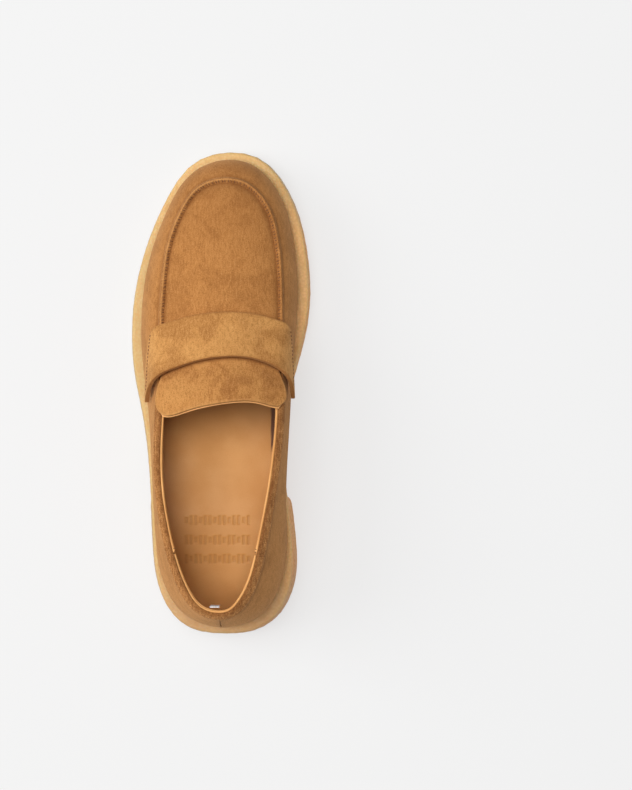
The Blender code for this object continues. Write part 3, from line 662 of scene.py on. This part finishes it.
def addStudio():
    scene.view_settings.view_transform = "Standard"
    world = bpy.data.worlds.new("studio")
    world.use_nodes = True
    backdrop = world.node_tree.nodes["Background"]
    backdrop.inputs["Color"].default_value = light["sky"]
    backdrop.inputs["Strength"].default_value = light["skyStrength"]
    scene.world = world
    addAreaLight("key", light["keyPlace"], light["keySize"], light["keyPower"])
    addAreaLight("top", light["topPlace"], light["topSize"], light["topPower"])
    bpy.ops.object.select_all(action="DESELECT")
    bpy.ops.mesh.primitive_plane_add(size=light["floorSize"], location=(0, 0, 0))
    floor = bpy.context.object
    floor.name = "floor"
    made, tree, shader = newMaterial("paleFloor")
    shader.inputs["Base Color"].default_value = (light["floorTone"],) * 3 + (1,)
    shader.inputs["Roughness"].default_value = 0.9
    shader.inputs["Specular IOR Level"].default_value = 0.1
    shader.inputs["Emission Color"].default_value = (1, 1, 1, 1)  # its own glow keeps the shadow faint
    shader.inputs["Emission Strength"].default_value = light["floorGlow"]
    floor.data.materials.append(made)


addCamera()
addStudio()
print("camera and studio ready")


sole = {"voxel": 1.0 * mm, "curdSize": 2.6 * mm, "curdDepth": 0.32 * mm}


def makeSoleLayer(node, name, finish):
    layer = copyOf(node, name)
    remesh = layer.modifiers.new("even", "REMESH")
    remesh.mode = "VOXEL"
    remesh.voxel_size = sole["voxel"]
    applied(layer)
    rippled(layer, sole["curdSize"], sole["curdDepth"])
    smoothShaded(layer)
    placed(layer, finish, replaces=node)


makeSoleLayer("midsole", "crepeMidsole", "crepe")
makeSoleLayer("outsole", "crepeOutsole", "crepeOuter")
makeSoleLayer("heel_block", "crepeHeelBlock", "heelCrepe")
makeSoleLayer("heel_top_piece", "crepeTopPiece", "heelCrepe")
print("sole ready")


panel = {
    "edgeRound": 0.4 * mm, "rimFrom": 0.9 * mm, "rimReach": 3.0 * mm,
    "waveSize": 22 * mm, "wave": 0.35 * mm, "collarWave": 0.3 * mm,
}


def makePanel(node, name, finish, wave):
    piece = copyOf(node, name)
    rims = rimPoints(piece)
    softened(piece, panel["edgeRound"], 2, 2, 50)
    rippled(piece, panel["waveSize"], wave)
    paint(piece, "rim", 1 - smoothStep(panel["rimFrom"], panel["rimReach"], distanceTo(piece, rims)))
    paint(piece, "shade", 0)
    smoothShaded(piece)
    return placed(piece, finish, replaces=node)


makePanel("side_wall", "suedeSideWall", "upperSuede", panel["wave"])
makePanel("apron", "suedeApron", "upperSuede", panel["wave"])
print("side wall and apron ready")

seam = {
    "points": 300, "endReach": 2.6 * mm, "outer": 1.6 * mm, "inner": 2.2 * mm, "crest": 1.3 * mm,
    "waveSize": 3 * mm, "wave": 0.35 * mm, "crestFrom": 0.72, "crestTo": 0.98,
    "innerReach": 22 * mm, "innerHighlightDimming": 0.8, "innerShade": 0.15,
    "footShade": 0.25, "innerFootShade": 0.2,
    "dip": 1.0 * mm, "dipFrom": 0.8 * mm, "dipReach": 7 * mm,
    "toeShade": 0.22, "toeFrom": 70 * mm, "toeTo": 115 * mm,
    "grooveShade": 0.45, "grooveFrom": 1.6 * mm, "grooveTo": 3.6 * mm,
    "stitchEvery": 2.0 * mm, "stitchLength": 1.8 * mm, "stitchRadius": 0.3 * mm, "stitchSlant": 0.7 * mm,
}


def seamPath():
    low = min(v.co.y for v in nodes["raised_seam"].data.vertices if v.co.x < 0)
    rings = ringsAlong("raised_seam", lambda p: p.x < 0 and p.y < low + seam["endReach"])
    return throughPoints([ring.mean(0) for ring in rings], seam["points"])


def makeSeam(path):
    # a steep outer side, a rounded crest and a slope to the apron; a painted highlight on the crest and
    # painted shade at the foot
    outer, inner, crest = seam["outer"], seam["inner"], seam["crest"]
    profile = [
        (outer, -0.95 * crest), (0.86 * outer, -0.25 * crest), (0.6 * outer, 0.4 * crest),
        (0.3 * outer, 0.86 * crest), (0.02 * outer, crest), (-0.2 * inner, 0.93 * crest),
        (-0.45 * inner, 0.66 * crest), (-0.75 * inner, 0.36 * crest), (-inner, 0.05 * crest),
        (-1.08 * inner, -0.5 * crest), (-0.6 * inner, -1.1 * crest), (0.3 * outer, -1.25 * crest),
    ]
    ridge = swept("suedeSeamRidge", path, profile, np.ones(len(path)))
    softened(ridge, 0, 0, 1, 0)
    rippled(ridge, seam["waveSize"], seam["wave"])
    places = coordinates(ridge)
    flat = np.array([1, 1, 0])
    tree = treeOf([point * flat for point in path])
    nearest = np.array([tree.find(p * flat)[1] for p in places])
    height = places[:, 2] - path[nearest, 2]
    crested = smoothStep(seam["crestFrom"] * crest, seam["crestTo"] * crest, height)
    inward = smoothStep(0, seam["innerReach"], places[:, 0])
    foot = (1 - crested) * (seam["footShade"] + seam["innerFootShade"] * inward)
    # painted highlight on the crest, dimmer towards the inner side; painted shade at the foot, more on the
    # inner side
    paint(ridge, "rim", crested * (1 - seam["innerHighlightDimming"] * inward))
    paint(ridge, "shade", seam["innerShade"] * inward + foot)
    smoothShaded(ridge)
    placed(ridge, "seamSuede", replaces="raised_seam")


def stitches(name, centres, directions, up, length, radius):
    # one small rounded stitch, copied to every place
    bpy.ops.object.select_all(action="DESELECT")
    bpy.ops.mesh.primitive_uv_sphere_add(segments=8, ring_count=6, radius=1)
    stitch = bpy.context.object
    shape = coordinates(stitch)
    faces = [tuple(face.vertices) for face in stitch.data.polygons]
    bpy.data.objects.remove(stitch)
    points, allFaces = [], []
    for centre, along in zip(centres, directions):
        along = along / np.linalg.norm(along)
        side = np.cross(up, along)
        side /= np.linalg.norm(side)
        rise = np.cross(along, side)
        first = len(points) * len(shape)
        points.append(centre + shape[:, :1] * along * length / 2 + shape[:, 1:2] * side * radius
                      + shape[:, 2:] * rise * radius)
        allFaces += [tuple(first + k for k in face) for face in faces]
    piece = fromPoints(name, np.concatenate(points), allFaces)
    smoothShaded(piece)
    return placed(piece, "thread")


def makeSeamStitches(path):
    along, side, rise = framesAlong(path)
    length = np.linalg.norm(np.diff(path, axis=0), axis=1).sum()
    picks = np.linspace(2, len(path) - 3, int(length / seam["stitchEvery"])).round().astype(int)
    # halfway down the slope towards the apron, and slanted along it
    height = 0.58 * seam["crest"] + 0.3 * seam["stitchRadius"]
    centre = path - side * 0.55 * seam["inner"] + rise * height
    slope = -side * seam["inner"] - rise * 0.9 * seam["crest"] + along * seam["stitchSlant"]
    stitches("apronStitches", centre[picks], slope[picks], (0, 0, 1), seam["stitchLength"],
             seam["stitchRadius"])


def dipApron(path):
    # the apron's edge dips into the groove beside the seam; painted shade darkens it there and towards the
    # toe
    apron = bpy.data.objects["suedeApron"]
    reach = distanceTo(apron, path)
    places = coordinates(apron)
    places[:, 2] -= seam["dip"] * (1 - smoothStep(seam["dipFrom"], seam["dipReach"], reach))
    setCoordinates(apron, places)
    toeward = seam["toeShade"] * smoothStep(seam["toeFrom"], seam["toeTo"], places[:, 1])
    groove = seam["grooveShade"] * (1 - smoothStep(seam["grooveFrom"], seam["grooveTo"], reach))
    paint(apron, "shade", toeward + groove)


apronPath = seamPath()
dipApron(apronPath)
makeSeam(apronPath)
makeSeamStitches(apronPath)
print("apron seam ready")


def outerSheet(node, name, seed):
    # the outer face of a layer, without its rim and its underside
    piece = copyOf(node, name)
    near = Vector(seed)
    chosen = min(piece.data.polygons, key=lambda f: (f.center - near).length - 0.02 * f.normal.z).index
    edit(piece)
    bpy.ops.mesh.select_all(action="DESELECT")
    bpy.ops.mesh.select_mode(type="FACE")
    leaveEdit()
    piece.data.polygons[chosen].select = True
    bpy.ops.object.mode_set(mode="EDIT")
    bpy.ops.mesh.faces_select_linked_flat(sharpness=math.radians(50))
    bpy.ops.mesh.select_all(action="INVERT")
    bpy.ops.mesh.delete(type="FACE")
    leaveEdit()
    return piece


fold = {
    "strap": {
        "seed": (0.003, 0.034, 0.09), "thick": 2.5 * mm, "rearShade": 0.95, "edge": "PRESERVE_CORNERS",
    },
    "tongue": {"seed": (0.003, 0.005, 0.1), "thick": 2.2 * mm, "rearShade": 0.25, "edge": "ALL"},
    "round": 0.46, "rimFrom": 0.2 * mm, "rimReach": 1.8 * mm, "shadeFrom": 2.0 * mm, "shadeReach": 3.6 * mm,
    "waveSize": 16 * mm, "wave": 0.5 * mm,
}


def makeFolded(node, name, finish, sizes, body):
    # a sheet of suede with a full, rounded edge; painted shade darkens its rear edge
    sheet = outerSheet(node, name, sizes["seed"])
    smooth = sheet.modifiers.new("smooth", "SUBSURF")
    smooth.levels = smooth.render_levels = 2
    smooth.boundary_smooth = sizes["edge"]
    applied(sheet)
    rims = rimPoints(sheet)
    thickened(sheet, sizes["thick"])
    bevel = sheet.modifiers.new("fold", "BEVEL")
    bevel.width = fold["round"] * sizes["thick"]
    bevel.segments = 5
    bevel.limit_method = "ANGLE"
    bevel.angle_limit = math.radians(60)
    applied(sheet)
    rippled(sheet, fold["waveSize"], fold["wave"])
    reach = distanceTo(sheet, rims)
    # near the edge the finish's edge tone, which on the tongue is a painted highlight
    paint(sheet, "rim", 1 - smoothStep(fold["rimFrom"], fold["rimReach"], reach))
    rearShadeMask = smoothStep(0.15, 0.8, -vertexVectors(sheet, "normal")[:, 1])
    nearEdge = 1 - smoothStep(fold["shadeFrom"], fold["shadeReach"], reach)
    paint(sheet, "shade", sizes["rearShade"] * rearShadeMask * nearEdge)
    smoothShaded(sheet)
    placed(sheet, finish, body, node)


makeFolded("saddle_strap", "suedeStrap", "strapSuede", fold["strap"], "shoe")
makeFolded("tongue", "suedeTongue", "tongueSuede", fold["tongue"], "tongue_flap")

underStrap = {"column": 1.0 * mm, "reach": 2.4 * mm, "dark": 1.3}


def rearEdge(places, width):
    # the column across the shoe that each place is in, and the rearmost y of each column
    columns = np.round(places[:, 0] / width).astype(int)
    return columns, {c: places[columns == c, 1].min() for c in set(columns)}


def paintShadowUnderStrap():
    # a painted shadow on the tongue along the strap's rear edge
    tongue = bpy.data.objects["suedeTongue"]
    rear = rearEdge(coordinates(bpy.data.objects["suedeStrap"]), underStrap["column"])[1]
    below = coordinates(tongue)
    columns = rearEdge(below, underStrap["column"])[0]
    behind = np.array([rear.get(c, 1.0) for c in columns]) - below[:, 1]
    close = underStrap["dark"] * (1 - smoothStep(0, underStrap["reach"], behind))
    old = np.zeros(len(below), np.float32)
    tongue.data.attributes["shade"].data.foreach_get("value", old)
    paint(tongue, "shade", np.maximum(old, close))


paintShadowUnderStrap()

strapStitch = {"every": 2.0 * mm, "length": 1.5 * mm, "radius": 0.42 * mm, "endReach": 1.0 * mm}


def makeStrapStitches(node, name, up):
    # along the CAD thread, laid on the strap's surface
    low = min(v.co.y for v in nodes[node].data.vertices)
    rings = ringsAlong(node, lambda p: p.y < low + strapStitch["endReach"])
    length = np.linalg.norm(rings[-1].mean(0) - rings[0].mean(0))
    path = throughPoints([ring.mean(0) for ring in rings], int(length / strapStitch["every"]))
    surface = BVHTree.FromObject(bpy.data.objects["suedeStrap"], bpy.context.evaluated_depsgraph_get())
    path = np.array([surface.find_nearest(Vector(p))[0][:] for p in path])
    piece = stitches(name, path, np.gradient(path, axis=0), up, strapStitch["length"],
                     strapStitch["radius"])
    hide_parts(node)


makeStrapStitches("saddle_thread_lateral", "strapStitchesOuter", (-0.6, 0, 0.8))
makeStrapStitches("saddle_thread_medial", "strapStitchesInner", (0.6, 0, 0.8))
print("strap and tongue ready")


lining = {
    "edgeRound": 0.3 * mm, "rimAbove": 60 * mm, "rimFrom": 0.6 * mm, "rimReach": 1.6 * mm,
    "slideColumn": 4 * mm, "slideFrom": 0.5 * mm, "slideReach": 9 * mm, "slide": 0.45 * mm,
}


def makeLining(node, name, body="shoe"):
    # its high edges, round the mouth of the shoe, are paler
    piece = copyOf(node, name)
    rims = [p for p in rimPoints(piece) if p.z > lining["rimAbove"]]
    softened(piece, lining["edgeRound"], 2, 1, 40)
    pale = 1 - smoothStep(lining["rimFrom"], lining["rimReach"], distanceTo(piece, rims)) if rims else 0
    paint(piece, "rim", pale)
    paint(piece, "shade", 0)
    smoothShaded(piece)
    return placed(piece, "lining", body, node)


makeLining("quarter_lining_lateral", "leatherQuarterLiningOuter")
makeLining("quarter_lining_medial", "leatherQuarterLiningInner")
makeLining("heel_lining", "leatherHeelLining")
makeLining("vamp_lining", "leatherVampLining")
tongueLining = makeLining("tongue_lining", "leatherTongueLining", "tongue_flap")
makeLining("saddle_backer", "leatherStrapBacker")
makeLining("apron_lining", "leatherApronLining")


def slideRearEdge(piece):
    # moved back a little, so that it shows as a thin line behind the tongue
    places = coordinates(piece)
    columns, rear = rearEdge(places, lining["slideColumn"])
    fromRear = places[:, 1] - np.array([rear[c] for c in columns])
    places[:, 1] -= lining["slide"] * (1 - smoothStep(lining["slideFrom"], lining["slideReach"], fromRear))
    setCoordinates(piece, places)


slideRearEdge(tongueLining)
print("linings ready")

topline = {
    "points": 110, "wide": 1.5 * mm, "tall": 1.8 * mm, "outwards": 0.3 * mm, "rise": 0.1 * mm, "sides": 10,
    "quarterReach": 2.2 * mm, "heelReach": 3.5 * mm, "waveSize": 6 * mm, "wave": 0.25 * mm,
    "swell": 0.45, "swellReach": 15 * mm, "dark": 0.4, "darkFrom": 1.2 * mm, "darkReach": 4.5 * mm,
}


def toplinePath(node, reach, innerEnd=False):
    # along the middle of the lining's top edge, from its front end or from the inner one of two
    front = max(v.co.y for v in nodes[node].data.vertices)
    rings = ringsAlong(node, lambda p: p.y > front - reach and (p.x > 0 or not innerEnd))
    return throughPoints([ring[np.argsort(ring[:, 2])[-2:]].mean(0) for ring in rings], topline["points"])


def makeToplineEdge(name, path, front=None):
    # the lining turned over the top edge, fuller towards its front end
    angles = np.linspace(0, 2 * math.pi, topline["sides"], endpoint=False)
    across = topline["outwards"] + topline["wide"] / 2 * np.cos(angles)
    upwards = topline["rise"] + topline["tall"] / 2 * np.sin(angles)
    scales = np.ones(len(path))
    if front is not None:
        away = np.linalg.norm(path - front, axis=1)
        scales += topline["swell"] * (1 - smoothStep(0, topline["swellReach"], away))
    edge = swept(name, path, list(zip(across, upwards)), scales)
    softened(edge, 0, 0, 1, 0)
    rippled(edge, topline["waveSize"], topline["wave"])
    paint(edge, "rim", 0)
    paint(edge, "shade", 0)
    smoothShaded(edge)
    placed(edge, "toplineEdge")


outerLine = toplinePath("quarter_lining_lateral", topline["quarterReach"])[::-1]
innerLine = toplinePath("quarter_lining_medial", topline["quarterReach"])
heelLine = toplinePath("heel_lining", topline["heelReach"], innerEnd=True)
makeToplineEdge("toplineEdgeOuter", outerLine, outerLine[0])
makeToplineEdge("toplineEdgeInner", innerLine, innerLine[-1])
makeToplineEdge("toplineEdgeHeel", heelLine)

notchStitch = {"back": (0.6 * mm, 2.2 * mm), "lift": 0.62, "length": 1.5 * mm, "radius": 0.28 * mm}


def makeNotchStitches(name, line, end):
    # two tacks across the line where the linings overlap
    along, side, rise = framesAlong(line)
    inwards = 1 if end == 0 else -1
    spots = [line[end] + inwards * along[end] * back + rise[end] * topline["tall"] * notchStitch["lift"]
             for back in notchStitch["back"]]
    stitches(name, spots, [side[end]] * 2, (0, 0, 1), notchStitch["length"], notchStitch["radius"])


makeNotchStitches("notchTacksOuter", outerLine, 0)
makeNotchStitches("notchTacksInner", innerLine, -1)


def makeCollar():
    # a soft band, with painted shade close to the topline
    collar = makePanel("collar", "suedeCollar", "collarSuede", panel["collarWave"])
    reach = distanceTo(collar, np.concatenate([outerLine, innerLine, heelLine]))
    close = 1 - smoothStep(topline["darkFrom"], topline["darkReach"], reach)
    paint(collar, "shade", topline["dark"] * close)


makeCollar()
print("collar and topline ready")

sock = {
    "columns": 130, "coarse": 2.2 * mm, "fine": 0.42 * mm, "thickness": 1.0 * mm, "curl": 0.5 * mm,
    "endSteps": (0.1 * mm, 0.5 * mm, 1.2 * mm), "heelFrom": 2.4 * mm, "toeTo": 2 * mm, "outlinePoints": 500,
    "stampFrom": -21 * mm, "stampTo": 20 * mm, "rows": (-76.5 * mm, -88.5 * mm, -100 * mm),
    "barEvery": 2.9 * mm, "barWidth": 1.7 * mm, "barLong": 5.6 * mm, "barShort": 3.4 * mm, "shortEvery": 3,
    "stampDepth": 0.4 * mm, "stampSoft": 0.25 * mm, "stampDark": 0.17,
    "edgeReach": 9 * mm, "edgeShade": 0.06, "frontFrom": -40 * mm, "frontTo": 5 * mm, "frontShade": 0.4,
    "sideFrom": 6 * mm, "sideTo": 28 * mm, "sideShade": 0.14,
    "gapFrom": 31.3 * mm, "gapTo": 31.9 * mm, "gapRear": -37 * mm, "gapFront": -30 * mm, "gapShade": 0.9,
}


def stampShape(x, y):
    # 0 to 1 inside rows of plain long and short bars
    pitch, soft = sock["barEvery"], sock["stampSoft"]
    across = np.abs((x - sock["stampFrom"]) % pitch - pitch / 2)
    number = ((x - sock["stampFrom"]) // pitch).astype(int)
    within = (x > sock["stampFrom"]) & (x < sock["stampTo"])
    pressed = np.zeros(len(x))
    for k, row in enumerate(sock["rows"]):
        half = np.where((number + k) % sock["shortEvery"] == 0, sock["barShort"], sock["barLong"]) / 2
        bar = smoothStep(-soft, soft, sock["barWidth"] / 2 - across)
        pressed = np.maximum(pressed, bar * smoothStep(-soft, soft, half - np.abs(y - row)) * within)
    return pressed


def sockOutline():
    # the top edge of the sock in order round it, and a smooth height for each place along the shoe
    points = np.array([v.co[:] for v in nodes["sock_lining"].data.vertices])
    points = np.unique(points.round(6), axis=0)
    above = points[:, 2] > np.polyval(np.polyfit(points[:, 1], points[:, 2], 6), points[:, 1])
    top = points[above]
    middle = top.mean(0)
    top = top[np.argsort(np.arctan2(top[:, 1] - middle[1], top[:, 0] - middle[0]))]
    return np.concatenate([top, top[:1]]), np.polyfit(top[:, 1], top[:, 2], 6)


def sidesAt(outline, y):
    # where the outline crosses a line across the shoe
    a, b = outline[:-1], outline[1:]
    cut = (a[:, 1] - y) * (b[:, 1] - y) <= 0
    share = (y - a[cut, 1]) / (b[cut, 1] - a[cut, 1] + 1e-12)
    x = a[cut, 0] + share * (b[cut, 0] - a[cut, 0])
    return x.min(), x.max()


def makeSock():
    # a grid from heel to toe, fine where the rows are pressed in, with its edges curled up
    outline, height = sockOutline()
    heel, toe = outline[:, 1].min(), outline[:, 1].max()
    stampHeel = min(sock["rows"]) - sock["barLong"]
    stampToe = max(sock["rows"]) + sock["barLong"]
    rows = np.concatenate([
        heel + np.array(sock["endSteps"]),
        np.arange(heel + sock["heelFrom"], stampHeel, sock["coarse"]),
        np.arange(stampHeel, stampToe, sock["fine"]),
        np.arange(stampToe + sock["coarse"], toe - sock["toeTo"], sock["coarse"]),
        toe - np.array(sock["endSteps"][::-1]),
    ])
    shares = np.linspace(0, 1, sock["columns"])
    places = []
    for y in rows:
        left, right = sidesAt(outline, y)
        places.append(np.stack([left + (right - left) * shares, np.full(len(shares), y), 0 * shares], 1))
    places = np.concatenate(places)
    x, y = places[:, 0], places[:, 1]
    pressed = stampShape(x, y)
    edgeward = np.abs(np.tile(shares, len(rows)) * 2 - 1)
    places[:, 2] = np.polyval(height, y) - sock["stampDepth"] * pressed + sock["curl"] * edgeward ** 8
    faces = []
    for k in range(len(rows) - 1):
        for j in range(len(shares) - 1):
            a = k * len(shares) + j
            faces.append((a, a + 1, a + 1 + len(shares), a + len(shares)))
    piece = fromPoints("leatherSock", places, faces)
    # darker in the pressed rows; painted shade at the edges, towards the front and on the inner side
    rim = distanceTo(piece, throughPoints(outline, sock["outlinePoints"]))
    shade = sock["stampDark"] * pressed + sock["edgeShade"] * (1 - smoothStep(0, sock["edgeReach"], rim))
    shade += sock["frontShade"] * smoothStep(sock["frontFrom"], sock["frontTo"], y)
    shade += sock["sideShade"] * smoothStep(sock["sideFrom"], sock["sideTo"], x)
    # a band of painted shadow stands for the deep gap beside the inner edge
    inGap = smoothStep(sock["gapFrom"], sock["gapTo"], x) * smoothStep(sock["gapRear"], sock["gapFront"], y)
    shade += sock["gapShade"] * inGap
    paint(piece, "shade", np.clip(shade, 0, 1))
    paint(piece, "rim", 0)
    thickened(piece, sock["thickness"])
    smoothShaded(piece)
    placed(piece, "sock", replaces="sock_lining")


makeSock()
print("sock ready")

tabShape = {"edgeRound": 0.12 * mm, "waveSize": 4 * mm, "wave": 0.3 * mm}


def makeTab():
    tab = copyOf("heel_label", "wovenTab")
    softened(tab, tabShape["edgeRound"], 2, 2, 40)
    rippled(tab, tabShape["waveSize"], tabShape["wave"])
    smoothShaded(tab)
    placed(tab, "tape", replaces="heel_label")


makeTab()
print("tab ready")

inside = {
    "insole_board": "board", "sock_foam": "foam", "shank": "steel", "forefoot_filler": "cork",
    "heel_counter": "stiffener", "toe_puff": "stiffener", "collar_foam": "foam",
}
for node, finish in inside.items():
    # hidden pieces keep their CAD shape and only get a finish
    nodes[node].data.materials.clear()
    nodes[node].data.materials.append(finishes[finish])
print("inside pieces ready")
